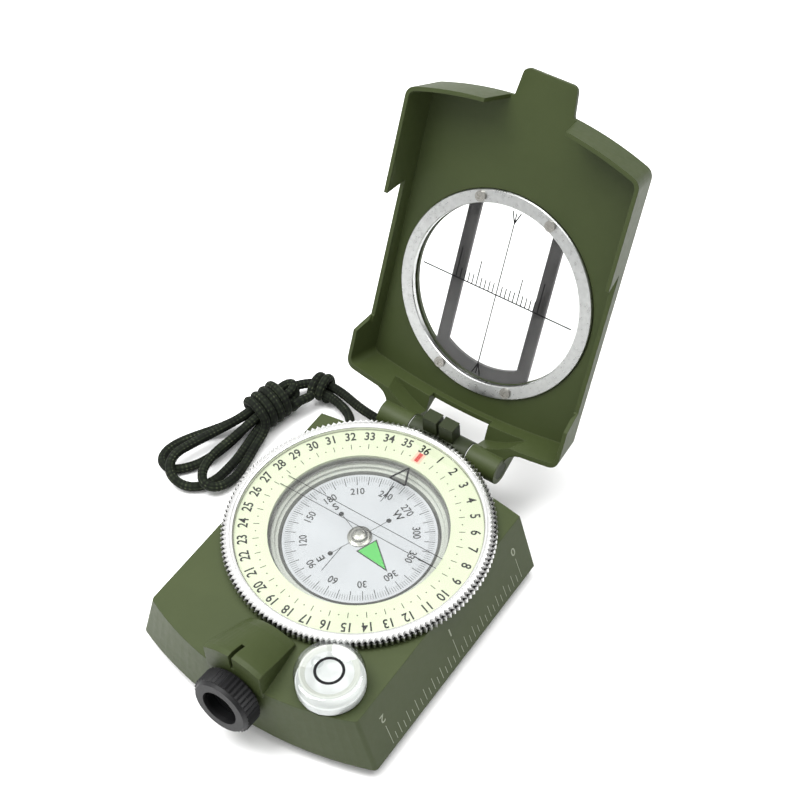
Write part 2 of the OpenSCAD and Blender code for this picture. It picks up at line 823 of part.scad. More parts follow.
base_housing();
bottom_cover();
cover_screws();
tripod_bush();
capsule_bowl();
capsule_screws();
pivot_post();
capsule_gasket();
capsule_crystal();
dial_card();
card_magnet();
jewel_cap();
bezel_ring();
luminous_ring();
bezel_glass();
bezel_snap_ring();
level_base();
level_vial();
eyepiece_tube();
focus_ring();
lens_cell();
eye_lens();
lens_retainer();
sight_prism();
prism_clip();
hinge_block();
block_screws();
hinge_pin();
hinge_washers();
lid_shell();
lid_lens();
lens_ring();
lens_screws();
window_frame();
lanyard_lug();
lanyard_lead();
lanyard_knot();
lanyard_hank();
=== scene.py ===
# Folding sighting compass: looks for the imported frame.
# Sizes and places are millimetres in the CAD's own frame; MM turns them into Blender's metres.
import math

import bmesh
import bpy
from mathutils import Matrix, Vector


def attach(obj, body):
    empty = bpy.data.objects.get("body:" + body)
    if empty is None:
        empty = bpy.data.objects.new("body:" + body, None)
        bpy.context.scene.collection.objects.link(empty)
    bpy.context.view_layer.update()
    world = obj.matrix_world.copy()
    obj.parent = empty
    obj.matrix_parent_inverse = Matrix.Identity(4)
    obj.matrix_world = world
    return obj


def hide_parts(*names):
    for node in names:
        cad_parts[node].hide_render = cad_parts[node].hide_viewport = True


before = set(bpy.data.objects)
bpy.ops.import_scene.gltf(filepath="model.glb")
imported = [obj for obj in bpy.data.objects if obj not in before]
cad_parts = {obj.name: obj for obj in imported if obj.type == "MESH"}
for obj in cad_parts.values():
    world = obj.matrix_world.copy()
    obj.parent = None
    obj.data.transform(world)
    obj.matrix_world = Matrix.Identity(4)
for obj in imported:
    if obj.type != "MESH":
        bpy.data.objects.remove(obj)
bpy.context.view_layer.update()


MM = 0.001

# ---------------------------------------------------------------- camera
AZ, EL, ROLL = (math.radians(a) for a in (38.05, 50.02, -4.12))
DISTANCE = 417.66
back = Vector((math.sin(AZ) * math.cos(EL), -math.cos(AZ) * math.cos(EL), math.sin(EL)))
right = Vector((math.cos(AZ), math.sin(AZ), 0))
up = back.cross(right)
right, up = (right * math.cos(ROLL) + up * math.sin(ROLL), up * math.cos(ROLL) - right * math.sin(ROLL))
target = Vector((-16.13, 38.81, 15)) * MM
cam_data = bpy.data.cameras.new("Camera")
cam_data.lens = 78.27
cam_data.sensor_width = 36
cam_data.clip_start = 0.01
cam = bpy.data.objects.new("Camera", cam_data)
turn = Matrix((right, up, back)).transposed().to_4x4()
cam.matrix_world = Matrix.Translation(target + back * DISTANCE * MM) @ turn
bpy.context.collection.objects.link(cam)
bpy.context.scene.camera = cam
bpy.context.scene.view_settings.view_transform = "Standard"

# ---------------------------------------------------------------- materials
LATHE_MM = 0.12  # width of a lathe's turning marks


class Mat:
    """A node material: a Principled shader and short ways to add what drives it."""

    def __init__(self, name, color, rough=0.5, metal=0.0, **more):
        self.mat = bpy.data.materials.new(name)
        self.mat.use_nodes = True
        self.tree = self.mat.node_tree
        self.bsdf = next(n for n in self.tree.nodes if n.type == "BSDF_PRINCIPLED")
        self.set("Base Color", (*color, 1))
        self.set("Roughness", rough)
        self.set("Metallic", metal)
        for key, value in more.items():
            self.set(key.replace("_", " "), value)
        self.coords = self.node("ShaderNodeTexCoord").outputs["Object"]

    def set(self, name, value):
        self.bsdf.inputs[name].default_value = value

    def node(self, kind, **values):
        n = self.tree.nodes.new(kind)
        for key, value in values.items():
            setattr(n, key, value)
        return n

    def link(self, a, b):
        self.tree.links.new(a, b)

    def noise(self, scale, detail=3, rough=0.5, stretch=None):
        n = self.node("ShaderNodeTexNoise")
        n.inputs["Scale"].default_value = scale
        n.inputs["Detail"].default_value = detail
        n.inputs["Roughness"].default_value = rough
        source = self.coords
        if stretch:
            m = self.node("ShaderNodeMapping")
            m.inputs["Scale"].default_value = stretch
            self.link(source, m.inputs["Vector"])
            source = m.outputs["Vector"]
        self.link(source, n.inputs["Vector"])
        return n.outputs["Fac"]

    def ramp(self, fac, a, b, low=0.3, high=0.7):
        n = self.node("ShaderNodeValToRGB")
        n.color_ramp.elements[0].position = low
        n.color_ramp.elements[1].position = high
        n.color_ramp.elements[0].color = (*a, 1)
        n.color_ramp.elements[1].color = (*b, 1)
        self.link(fac, n.inputs["Fac"])
        return n.outputs["Color"]

    def span(self, fac, low, high):
        n = self.node("ShaderNodeMapRange")
        n.inputs["To Min"].default_value = low
        n.inputs["To Max"].default_value = high
        self.link(fac, n.inputs["Value"])
        return n.outputs["Result"]

    def math(self, op, a, b=None):
        n = self.node("ShaderNodeMath", operation=op)
        for socket, value in zip(n.inputs, (a, b)):
            if isinstance(value, (int, float)):
                socket.default_value = value
            elif value is not None:
                self.link(value, socket)
        return n.outputs[0]

    def color(self, fac, a, b, low=0.3, high=0.7):
        self.link(self.ramp(fac, a, b, low, high), self.bsdf.inputs["Base Color"])

    def rough(self, fac, low, high):
        self.link(self.span(fac, low, high), self.bsdf.inputs["Roughness"])

    def bump(self, fac, depth_mm, edge_mm=0.0):
        n = self.node("ShaderNodeBump")
        n.inputs["Strength"].default_value = 1
        n.inputs["Distance"].default_value = depth_mm * MM
        self.link(fac, n.inputs["Height"])
        if edge_mm:
            b = self.node("ShaderNodeBevel", samples=4)
            b.inputs["Radius"].default_value = edge_mm * MM
            self.link(b.outputs["Normal"], n.inputs["Normal"])
        self.link(n.outputs["Normal"], self.bsdf.inputs["Normal"])

    def radius_and_height(self):
        """Distance from the Z axis and height, both in metres."""
        parts = self.node("ShaderNodeSeparateXYZ")
        self.link(self.coords, parts.inputs[0])
        x, y, z = parts.outputs
        squares = self.math("ADD", self.math("MULTIPLY", x, x), self.math("MULTIPLY", y, y))
        return self.math("SQRT", squares), z

    def turned(self):
        """Fine rings round the Z axis, as a lathe leaves."""
        r, z = self.radius_and_height()
        n = self.node("ShaderNodeTexNoise", noise_dimensions="1D")
        n.inputs["Scale"].default_value = 1 / (LATHE_MM * MM)
        n.inputs["Detail"].default_value = 2
        self.link(self.math("ADD", r, z), n.inputs["W"])
        return n.outputs["Fac"]


def paint(name, dark, light, rough, coat):
    m = Mat(name, light, rough, Coat_Weight=coat, Coat_Roughness=0.3, Specular_IOR_Level=0.22)
    m.color(m.noise(55, 4, 0.6), dark, light)
    m.rough(m.noise(700, 3), rough - 0.05, rough + 0.09)
    m.bump(m.noise(2600, 2), 0.012, 0.22)
    return m.mat


GREEN = paint("green_paint", (0.032, 0.044, 0.012), (0.038, 0.051, 0.015), 0.5, 0.03)
DARK_GREEN = paint("dark_green_paint", (0.016, 0.022, 0.007), (0.020, 0.027, 0.009), 0.52, 0.02)


def turned_metal(name, color, rough):
    m = Mat(name, color, rough, 1.0)
    rings = m.turned()
    m.color(m.noise(120, 3), tuple(c * 0.93 for c in color), color)
    m.rough(rings, rough - 0.07, rough + 0.09)
    m.bump(rings, 0.004, 0.08)
    return m.mat


BRIGHT = (0.70, 0.70, 0.69)
BEZEL = turned_metal("bezel_metal", BRIGHT, 0.24)
ROOT_SHADE_R, TOOTH_R = 30.45, 30.9  # painted shade below the first radius, in the roots of the teeth; plain bright metal beyond the second
KNURL_TOP = 20.62
KNURL_INNER_R = 29.9


def knurled_metal():
    """Bright metal with painted shade in the knurl's roots between the teeth."""
    m = Mat("bezel_knurl", (0.86, 0.86, 0.85), 0.26, 1.0)
    r, z = m.radius_and_height()
    # Painted shade: near black towards the roots of the teeth, where light hardly reaches; the knurl's top
    # and its inner face stay bright
    out_of_root_shade = m.node("ShaderNodeMapRange")
    out_of_root_shade.inputs["From Min"].default_value = ROOT_SHADE_R * MM
    out_of_root_shade.inputs["From Max"].default_value = TOOTH_R * MM
    m.link(r, out_of_root_shade.inputs["Value"])
    above = m.math("GREATER_THAN", z, KNURL_TOP * MM)
    within = m.math("LESS_THAN", r, KNURL_INNER_R * MM)
    unshaded = m.math("MAXIMUM", m.math("MAXIMUM", above, within), out_of_root_shade.outputs["Result"])
    m.color(unshaded, (0.03, 0.03, 0.028), BRIGHT, 0.05, 0.95)
    rings = m.turned()
    m.rough(rings, 0.20, 0.36)
    m.bump(rings, 0.004, 0.06)
    return m.mat


KNURL = knurled_metal()
STEEL = turned_metal("steel", (0.40, 0.39, 0.36), 0.26)
BRASS = turned_metal("brass", (0.72, 0.53, 0.22), 0.28)


def brushed_ring():
    m = Mat("ring_metal", (0.80, 0.81, 0.80), 0.3, 1.0, Anisotropic=0.3)
    grain = m.noise(900, 3, 0.6, stretch=(1, 0.12, 1))
    m.color(grain, (0.52, 0.53, 0.52), (0.62, 0.63, 0.62))
    m.rough(grain, 0.22, 0.36)
    m.bump(grain, 0.005, 0.1)
    return m.mat


RING = brushed_ring()


def plastic(name, dark, light, rough, grain=1500, depth=0.01, edge=0.12, **more):
    m = Mat(name, light, rough, **more)
    m.color(m.noise(80, 3), dark, light)
    m.rough(m.noise(grain, 2), rough - 0.06, rough + 0.08)
    m.bump(m.noise(grain, 3), depth, edge)
    return m.mat


# The faint emission is a painted glow that brightens the luminous ring
LUME = plastic("luminous", (0.42, 0.455, 0.32), (0.46, 0.49, 0.36), 0.38, 900, 0.006, 0.1,
               Emission_Strength=0.04, Emission_Color=(0.86, 0.95, 0.70, 1))
WHITE = plastic("white_plastic", (0.62, 0.63, 0.62), (0.68, 0.69, 0.68), 0.33)
BLACK = plastic("black_plastic", (0.004, 0.004, 0.0045), (0.008, 0.008, 0.009), 0.5, 1800, 0.016,
                Specular_IOR_Level=0.3)
GREY = plastic("dark_grey", (0.030, 0.028, 0.028), (0.042, 0.040, 0.040), 0.5, 1800, 0.012)
GASKET = plastic("gasket", (0.16, 0.16, 0.15), (0.20, 0.20, 0.19), 0.5)
CARD = plastic("card_white", (0.46, 0.465, 0.50), (0.50, 0.505, 0.54), 0.42, 1200, 0.004, 0.05)
WALL = plastic("capsule_wall", (0.42, 0.43, 0.39), (0.50, 0.51, 0.47), 0.28, 900, 0.006, 0.1)
INK = plastic("print_black", (0.004, 0.004, 0.0045), (0.008, 0.008, 0.009), 0.6, 2500, 0.003, 0,
              Specular_IOR_Level=0.15)
INK_GREY = plastic("print_grey", (0.10, 0.10, 0.11), (0.15, 0.15, 0.16), 0.5, 2500, 0.003, 0)
INK_GREEN = plastic("print_green", (0.045, 0.42, 0.055), (0.055, 0.47, 0.065), 0.45, 1500, 0.003, 0)
INK_RED = plastic("print_red", (0.34, 0.012, 0.006), (0.42, 0.018, 0.01), 0.45, 1500, 0.003, 0)
INK_PINK = plastic("print_pink", (0.56, 0.33, 0.24), (0.60, 0.38, 0.29), 0.5, 1500, 0.003, 0)
ENGRAVE = plastic("engraved_pale", (0.20, 0.22, 0.155), (0.24, 0.26, 0.19), 0.6, 2500, 0.006, 0)


def clear(name, tint, rough=0.01, ior=1.45):
    """Glass that is seen through without bending, with a reflection that grows towards grazing."""
    m = Mat(name, tint, rough)
    m.tree.nodes.remove(m.bsdf)
    see = m.node("ShaderNodeBsdfTransparent")
    see.inputs["Color"].default_value = (*tint, 1)
    shine = m.node("ShaderNodeBsdfGlossy")
    shine.inputs["Roughness"].default_value = rough
    # Schlick's law on the facing angle: the same on both faces, so a slab seen at a slant stays clear
    facing = m.node("ShaderNodeLayerWeight")
    facing.inputs["Blend"].default_value = 0.5
    head_on = ((ior - 1) / (ior + 1)) ** 2
    grazing = m.math("POWER", facing.outputs["Facing"], 5.0)
    mix = m.node("ShaderNodeMixShader")
    m.link(m.math("ADD", m.math("MULTIPLY", grazing, 1 - head_on), head_on), mix.inputs["Fac"])
    m.link(see.outputs[0], mix.inputs[1])
    m.link(shine.outputs[0], mix.inputs[2])
    out = next(n for n in m.tree.nodes if n.type == "OUTPUT_MATERIAL")
    m.link(mix.outputs[0], out.inputs["Surface"])
    return m.mat


CLEAR = clear("clear", (0.985, 0.99, 0.985))
ACRYLIC = clear("acrylic", (0.90, 0.915, 0.91), 0.02, 1.5)
COATED = clear("coated_lens", (0.55, 0.62, 0.66), 0.02, 1.6)


def braided_cord():
    m = Mat("cord", (0.03, 0.04, 0.02), 0.85, Specular_IOR_Level=0.2)
    # The point attribute carries the braid's two-tone pattern and painted shade in the creases between
    # strands
    tint = m.node("ShaderNodeAttribute", attribute_name="strand_shade").outputs["Fac"]
    patch = m.noise(210, 2, 0.6)
    mixed = m.math("ADD", m.math("MULTIPLY", tint, 0.62), m.math("MULTIPLY", patch, 0.5))
    ramp = m.node("ShaderNodeValToRGB")
    ramp.color_ramp.interpolation = "EASE"
    stops = ramp.color_ramp.elements
    stops[0].position, stops[0].color = 0.30, (0.0015, 0.002, 0.0012, 1)
    stops[1].position, stops[1].color = 0.88, (0.075, 0.085, 0.048, 1)
    for place, shade in ((0.46, (0.004, 0.006, 0.003)), (0.64, (0.013, 0.018, 0.009))):
        stop = stops.new(place)
        stop.color = (*shade, 1)
    m.link(mixed, ramp.inputs["Fac"])
    m.link(ramp.outputs["Color"], m.bsdf.inputs["Base Color"])
    m.bump(m.noise(5200, 2, 0.6), 0.05)
    return m.mat


CORD = braided_cord()

# ---------------------------------------------------------------- helpers


def piece(name, verts, faces, mat, body, smooth=False):
    """A mesh piece from points in millimetres."""
    mesh = bpy.data.meshes.new(name)
    mesh.from_pydata([Vector(v) * MM for v in verts], [], faces)
    mesh.materials.append(mat)
    bm = bmesh.new()
    bm.from_mesh(mesh)
    bmesh.ops.recalc_face_normals(bm, faces=bm.faces)
    bm.to_mesh(mesh)
    bm.free()
    for p in mesh.polygons:
        p.use_smooth = smooth
    obj = bpy.data.objects.new(name, mesh)
    bpy.context.collection.objects.link(obj)
    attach(obj, body)
    return obj


def ring_faces(steps, n):
    """Quads from each profile of n points to the next, all the way round."""
    faces = []
    for i in range(steps):
        j = (i + 1) % steps
        faces += [(i * n + k, j * n + k, j * n + (k + 1) % n, i * n + (k + 1) % n) for k in range(n)]
    return faces


def lathe(profile, steps=128, at=(0, 0)):
    """Verts and faces of a closed profile of (r, z) turned round Z."""
    verts = []
    for i in range(steps):
        a = 2 * math.pi * i / steps
        verts += [(at[0] + r * math.cos(a), at[1] + r * math.sin(a), z) for r, z in profile]
    return verts, ring_faces(steps, len(profile))


def soften(obj, angle=35):
    """Smooth shading, with edges sharper than the angle kept."""
    for p in obj.data.polygons:
        p.use_smooth = True
    bm = bmesh.new()
    bm.from_mesh(obj.data)
    for edge in bm.edges:
        edge.smooth = len(edge.link_faces) == 2 and edge.calc_face_angle(0) < math.radians(angle)
    bm.to_mesh(obj.data)
    bm.free()
    return obj


class Marks:
    """Thin printed or raised marks on a plane, gathered into one piece. Millimetres."""

    def __init__(self, place, thick=0.02):
        self.place = place
        self.thick = thick
        self.verts, self.faces = [], []

    def _add(self, verts, faces):
        base = len(self.verts)
        self.verts += [self.place @ Vector(v) for v in verts]
        self.faces += [tuple(base + i for i in f) for f in faces]

    def shape(self, points):
        n = len(points)
        verts = [(x, y, z) for z in (0, self.thick) for x, y in points]
        sides = [(i, (i + 1) % n, n + (i + 1) % n, n + i) for i in range(n)]
        self._add(verts, [tuple(range(n))[::-1], tuple(range(n, 2 * n))] + sides)

    def line(self, a, b, w):
        a, b = Vector(a), Vector(b)
        side = (b - a).normalized() * (w / 2)
        side = Vector((-side.y, side.x))
        self.shape([tuple(a - side), tuple(b - side), tuple(b + side), tuple(a + side)])

    def radial(self, r0, r1, bearing, w):
        d = heading(bearing)
        self.line(d * r0, d * r1, w)

    def dot(self, at, r, n=16):
        self.shape([(at[0] + r * math.cos(2 * math.pi * i / n), at[1] + r * math.sin(2 * math.pi * i / n))
                    for i in range(n)])

    def ring(self, r0, r1, at, n=96):
        """A flat ring round a point."""
        around = [heading(360 * i / n) for i in range(n)]
        verts = [(at[0] + r * d.x, at[1] + r * d.y, z)
                 for z in (0, self.thick) for r in (r0, r1) for d in around]
        faces = []
        a, b, c, d = 0, n, 2 * n, 3 * n
        for i in range(n):
            j = (i + 1) % n
            faces += [(a + i, a + j, b + j, b + i), (c + i, d + i, d + j, c + j),
                      (a + i, c + i, c + j, a + j), (b + i, b + j, d + j, d + i)]
        self._add(verts, faces)

    def text(self, words, at, size, turn, width=1.0, bold=0.03):
        """Words centred at a point; turn is clockwise in degrees."""
        curve = bpy.data.curves.new("words", "FONT")
        curve.body = words
        curve.align_x = "CENTER"
        curve.align_y = "CENTER"
        curve.size = size
        curve.resolution_u = 3
        curve.offset = bold
        curve.extrude = self.thick / 2
        obj = bpy.data.objects.new("words", curve)
        bpy.context.collection.objects.link(obj)
        mesh = bpy.data.meshes.new_from_object(obj)
        spin = Matrix.Rotation(-math.radians(turn), 4, "Z") @ Matrix.Diagonal((width, 1, 1, 1))
        shift = Matrix.Translation((at[0], at[1], self.thick / 2))
        self._add([shift @ spin @ v.co for v in mesh.vertices], [tuple(p.vertices) for p in mesh.polygons])
        bpy.data.objects.remove(obj)
        bpy.data.curves.remove(curve)
        bpy.data.meshes.remove(mesh)

    def done(self, name, mat, body):
        return piece(name, self.verts, self.faces, mat, body)


def heading(bearing):
    """Unit vector of a bearing, clockwise from +Y."""
    return Vector((math.sin(math.radians(bearing)), math.cos(math.radians(bearing))))


def at_height(z):
    return Matrix.Translation((0, 0, z))


SUBSTEPS = 24  # points on each span of the curve before resampling
EASINGS = 14
LOWEST = 1.22  # the centre line's least height, just over the cord's radius


def smooth_path(points, step=0.5):
    """Catmull-Rom line through given points, resampled to even steps."""
    pts = [Vector(p) for p in points]
    pts = [pts[0] * 2 - pts[1]] + pts + [pts[-1] * 2 - pts[-2]]
    fine = []
    for i in range(1, len(pts) - 2):
        p0, p1, p2, p3 = pts[i - 1:i + 3]
        for k in range(SUBSTEPS):
            t = k / SUBSTEPS
            fine.append(0.5 * (2 * p1 + (p2 - p0) * t + (2 * p0 - 5 * p1 + 4 * p2 - p3) * t * t
                               + (3 * p1 - p0 - 3 * p2 + p3) * t ** 3))
    fine.append(pts[-2])
    total = sum((b - a).length for a, b in zip(fine, fine[1:]))
    count = round(total / step)
    out, walked, target_at = [fine[0]], 0.0, total / count
    for a, b in zip(fine, fine[1:]):
        leg = (b - a).length
        while leg and walked + leg >= target_at - 1e-9 and len(out) < count:
            out.append(a.lerp(b, (target_at - walked) / leg))
            target_at += total / count
        walked += leg
    out.append(fine[-1])
    # Ease the sharpest bends
    for _ in range(EASINGS):
        eased = [(a + 2 * b + c) / 4 for a, b, c in zip(out, out[1:], out[2:])]
        out = [out[0]] + eased + [out[-1]]
    for p in out:
        p.z = max(p.z, LOWEST)
    return out, sum((b - a).length for a, b in zip(out, out[1:]))


# ---------------------------------------------------------------- lanyard
# The way from the knot through the ear and back to the bundle, as in the CAD
OUT = [(-41.6, 37.6, 3.1), (-38.8, 38.2, 3), (-35.6, 37.8, 3.1), (-32.2, 36.6, 3.6), (-29, 34.6, 4.6),
       (-26.6, 31.8, 6.2), (-24.2, 29.2, 7.6), (-21, 28.4, 8), (-17.8, 28.8, 7.9), (-15.4, 30.8, 7.4),
       (-15.4, 33.6, 6.6), (-17.6, 35.8, 5.9), (-21, 37, 5.4), (-24.8, 37.6, 5), (-28.6, 38.4, 4.4),
       (-32.4, 39.6, 3.8), (-36, 40.6, 3.3), (-39.6, 41, 3.1), (-43, 40, 3.1), (-46, 37.6, 3.2),
       (-48, 34.4, 3.3), (-49, 31, 3.4)]
# Along and across the bundle, and height
FOLDS = [(21, -0.8, 3.5), (15, 0, 3), (9, 0.4, 2), (3.4, 0, 1.4), (-1.6, -1.2, 1.3),
         (-5.4, -3.8, 1.3), (-6, -7.2, 1.4), (-3.4, -9.2, 1.5), (1, -9, 1.6), (6, -7.2, 1.8), (11, -4.8, 2.4),
         (16, -3, 3.2), (21, -2.2, 3.6), (26, -2.2, 3.6), (29, -2.2, 3.7), (31, -1.2, 3.9), (31, 1.2, 3.9),
         (29, 2.2, 3.7), (25.6, 2.2, 3.6), (20, 2.3, 3.6), (14.6, 3.4, 2.8), (9.4, 4.8, 1.8), (4.4, 5.8, 1.4),
         (-0.6, 6.2, 1.3), (-5, 4.4, 1.4), (-7.2, 1, 1.9), (-6.8, -3, 3), (-3.2, -5.2, 3.9), (2, -4.6, 4.1),
         (8, -3.4, 4.3), (14, -1.9, 5), (20, -1.2, 5.7), (26, -1.2, 5.7), (29.4, -1.5, 5.9), (31.6, 0, 6.2),
         (29.4, 1.5, 6), (26, 1.2, 5.7), (20, 1.2, 5.6), (14.6, 1.4, 5), (9, 1.4, 4.3), (3.6, 1.6, 3.9),
         (-1.4, 3.4, 3.7), (-3.6, 6.6, 3.2), (-1.4, 9.2, 2.4), (3.4, 9.4, 1.8), (8.2, 7.8, 1.8),
         (12.6, 6, 2.2), (16.2, 5, 3.2)]
HOME = Vector((-52.6, 4.2, 0))
ALONG = Vector((0.204, 0.979, 0))
ACROSS = Vector((0.979, -0.204, 0))


def lie(a, b, z):
    return HOME + ALONG * a + ACROSS * b + Vector((0, 0, z))


POINTS_A_TURN = 10


def turns(at, along, across, wide, high, count, pitch, first):
    """Centre line of turns wound round a bundle, from an angle in degrees."""
    n = int(count * POINTS_A_TURN)
    pts = []
    for i in range(n + 1):
        t = math.radians(first + 360 * count * i / n)
        pts.append(at + along * (pitch * count * i / n) + across * (wide * math.cos(t))
                   + Vector((0, 0, high * math.sin(t))))
    return pts


WRAPS = turns(lie(18.4, 0, 4.7), ALONG, ACROSS, 4.4, 3.4, 4, 2.35, 0)
KNOT_ALONG = Vector((0.96, 0.28, 0))
KNOT_ACROSS = Vector((0.28, -0.96, 0))
SMALL = turns(Vector((-42.8, 38.9, 3.5)), KNOT_ALONG, KNOT_ACROSS, 3.1, 2.2, 1.9, 2.1, 20)
route = ([Vector(p) for p in OUT] + [lie(*p) for p in FOLDS] + WRAPS
         + [lie(30, 4.6, 4.8), lie(32.8, 5, 4), Vector((-42.4, 36.4, 3.6))] + SMALL)
CORD_R = 1.2
line, cord_mm = smooth_path(route)


BRAID_PER_MM = 2.9  # how far the braid's strands wind on, in radians
STRANDS = 4  # each way round


def braided_tube(name, line, radius, sides=20):
    """Tube with the raised strands of a round braid; a point attribute holds their pattern and painted shade
    in the creases between them.
    """
    verts, faces, strand_pattern_and_shade = [], [], []
    normal = Vector((0, 0, 1))
    walked = 0.0
    for i, p in enumerate(line):
        ahead = (line[min(i + 1, len(line) - 1)] - line[max(i - 1, 0)]).normalized()
        normal = (normal - ahead * normal.dot(ahead)).normalized()
        side = ahead.cross(normal)
        if i:
            walked += (p - line[i - 1]).length
        for k in range(sides):
            a = 2 * math.pi * k / sides
            u = math.sin(walked * BRAID_PER_MM + STRANDS * a)
            v = math.sin(walked * BRAID_PER_MM - STRANDS * a)
            lift = abs(u * v)
            r = radius * (0.925 + 0.085 * math.sqrt(lift))
            verts.append(p + (normal * math.cos(a) + side * math.sin(a)) * r)
            # Painted shade: the colour darkens where the strands dip into the creases between them; the sign
            # of u * v gives the braid's two-tone pattern
            strand_pattern_and_shade.append(max(0.0, min(1.0, 0.5 + 0.5 * u * v)) * (0.45 + 0.55 * lift ** 0.4))
    n = len(line)
    for i in range(n - 1):
        for k in range(sides):
            m = (k + 1) % sides
            faces.append((i * sides + k, (i + 1) * sides + k, (i + 1) * sides + m, i * sides + m))
    faces += [tuple(range(sides)), tuple(range((n - 1) * sides, n * sides))[::-1]]
    obj = piece(name, verts, faces, CORD, "case", smooth=True)
    layer = obj.data.attributes.new("strand_shade", "FLOAT", "POINT")
    layer.data.foreach_set("value", strand_pattern_and_shade)
    return obj


cord = braided_tube("lanyard_cord", line, CORD_R)
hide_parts("lanyard_lead", "lanyard_knot", "lanyard_hank")

# ---------------------------------------------------------------- CAD nodes keep their shape
FINISH = {
    "base_housing": GREEN, "bottom_cover": DARK_GREEN, "cover_screws": STEEL, "tripod_bush": BRASS,
    "capsule_bowl": WALL, "capsule_screws": STEEL, "pivot_post": BRASS, "capsule_gasket": GASKET,
    "capsule_crystal": CLEAR, "dial_card": CARD, "card_magnet": STEEL, "jewel_cap": STEEL,
    "bezel_ring": BEZEL, "luminous_ring": LUME, "bezel_glass": CLEAR, "bezel_snap_ring": STEEL,
    "level_base": WHITE, "level_vial": ACRYLIC, "eyepiece_tube": BLACK, "focus_ring": BLACK,
    "lens_cell": BLACK, "eye_lens": COATED, "lens_retainer": BLACK, "sight_prism": COATED,
    "prism_clip": STEEL, "hinge_block": DARK_GREEN, "block_screws": STEEL, "hinge_pin": DARK_GREEN,
    "hinge_washers": WHITE, "lid_shell": GREEN, "lid_lens": CLEAR, "lens_ring": RING,
    "lens_screws": STEEL, "window_frame": GREY, "lanyard_lug": DARK_GREEN,
}
for node, mat in FINISH.items():
    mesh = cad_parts[node].data
    mesh.materials.clear()
    mesh.materials.append(mat)

# ---------------------------------------------------------------- bezel
TEETH = 150
WAVE = (0.0, 0.5, 1.0, 0.5)  # from a tooth's tip to the gap and back
LUME_TOP = 20.1
NUMBER_R = 26


def knurled(tip, root, teeth):
    """A ring whose outline changes from tooth to tooth: tip and root are matching profiles."""
    steps = teeth * len(WAVE)
    verts = []
    for i in range(steps):
        a = 2 * math.pi * i / steps
        mix = WAVE[i % len(WAVE)]
        for (r0, z0), (r1, z1) in zip(tip, root):
            r, z = r0 + (r1 - r0) * mix, z0 + (z1 - z0) * mix
            verts.append((r * math.cos(a), r * math.sin(a), z))
    return verts, ring_faces(steps, len(tip))


# The hub below and the face above are the same at a tooth's tip and at its root
hub = [(22, 15), (23.8, 15), (23.8, 18.7)]
face = [(29.45, 21.2), (28.95, 21.2), (28.85, 21.1), (28.75, 21.1), (28.65, 21.18), (28.25, 21.1),
        (28.08, 20.92), (28.05, 19.4), (22, 19.4)]
tip = hub + [(30.6, 18.7), (31, 19.05), (31, 20.35), (30.75, 20.6), (29.75, 21.12)] + face
root = hub + [(30.3, 18.7), (30.4, 19.05), (30.4, 20.25), (30.15, 20.5), (29.7, 21.0)] + face
verts, faces = knurled(tip, root, TEETH)
bezel = piece("bezel_body", verts, faces, KNURL, "bezel")
soften(bezel, 28)
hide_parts("bezel_ring")

# Numbers run clockwise in tens of degrees, with a tick at each but the index and a dot between
ring_print = Marks(at_height(LUME_TOP))
for k in range(36):
    ring_print.text(str(k or 36), heading(10 * k) * NUMBER_R, 3.2, 10 * k, 0.84, 0.06)
    if k:
        ring_print.radial(22.4, 23.8, 10 * k, 0.16)
    ring_print.dot(heading(10 * k + 5) * 23.1, 0.16, 10)
ring_print.done("ring_numbers", INK, "bezel")
glow = Marks(at_height(LUME_TOP), 0.012)
glow.line((0, 21.9), (0, 25), 2.3)
glow.done("index_glow", INK_PINK, "bezel")
index = Marks(at_height(LUME_TOP + 0.01))
index.line((0, 22.3), (0, 24.9), 1)
index.done("index_mark", INK_RED, "bezel")

verts, faces = lathe([(0.01, 20.45), (28, 20.45), (28, 20.8), (27.9, 20.9), (0.01, 20.9)])
glass = piece("bezel_crystal", verts, faces, CLEAR, "bezel")
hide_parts("bezel_glass")
glass_print = Marks(at_height(20.42))
THIN, THICK = 0.16, 0.3
for a, b, wide in (((-22.2, 0.2), (20.7, 0.2), THIN), ((15, 0.2), (19.6, 0.2), THICK),
                   ((-22, 3), (20.5, 3), THIN), ((0, 8.4), (0, 13.6), THIN), ((0, 11), (0, 13.6), THICK),
                   ((0, -13.9), (0, -6.3), THIN)):
    glass_print.line(a, b, wide)
# The index triangle
top, left_foot, right_foot = (0, 19.7), (-2.15, 15.1), (2.15, 15.1)
for a, b in ((top, left_foot), (top, right_foot), (left_foot, right_foot)):
    glass_print.line(a, b, 0.48)
glass_print.done("glass_lines", INK, "bezel")

# ---------------------------------------------------------------- card
NORTH = 112  # where the card's north stands, as a bearing on the case
CARD_TOP = 16.6
CARD_R = 17
card = Marks(at_height(CARD_TOP))
fine = Marks(at_height(CARD_TOP))
for d in range(0, 360, 2):
    if d % 10 == 0:
        card.radial(14.6, CARD_R, NORTH + d, 0.17)
    else:
        fine.radial(15.6, CARD_R, NORTH + d, 0.12)
for d in range(30, 361, 30):
    card.text(str(d), heading(NORTH + d) * 12.7, 2.5, NORTH + d, 0.88, 0.035)
for d, letter in ((90, "E"), (180, "S"), (270, "W")):
    way = heading(NORTH + d)
    card.text(letter, way * 10.2, 2.6, NORTH + d, 1, 0.05)
    card.dot(way * 7.8, 0.6)
    card.line(way * 2.8, way * 7.8, 0.14)
card.done("card_print", INK, "card")
fine.done("card_fine_ticks", INK_GREY, "card")


def arrow(half, base, apex):
    way, side = heading(NORTH), heading(NORTH + 90)
    return [tuple(way * apex), tuple(way * base + side * half), tuple(way * base - side * half)]


edge = Marks(at_height(CARD_TOP))
edge.shape(arrow(2.75, 2.8, 11.5))
edge.done("arrow_outline", INK, "card")
fill = Marks(at_height(CARD_TOP + 0.02), 0.015)
fill.shape(arrow(2.35, 3.05, 10.6))
fill.done("arrow_fill", INK_GREEN, "card")

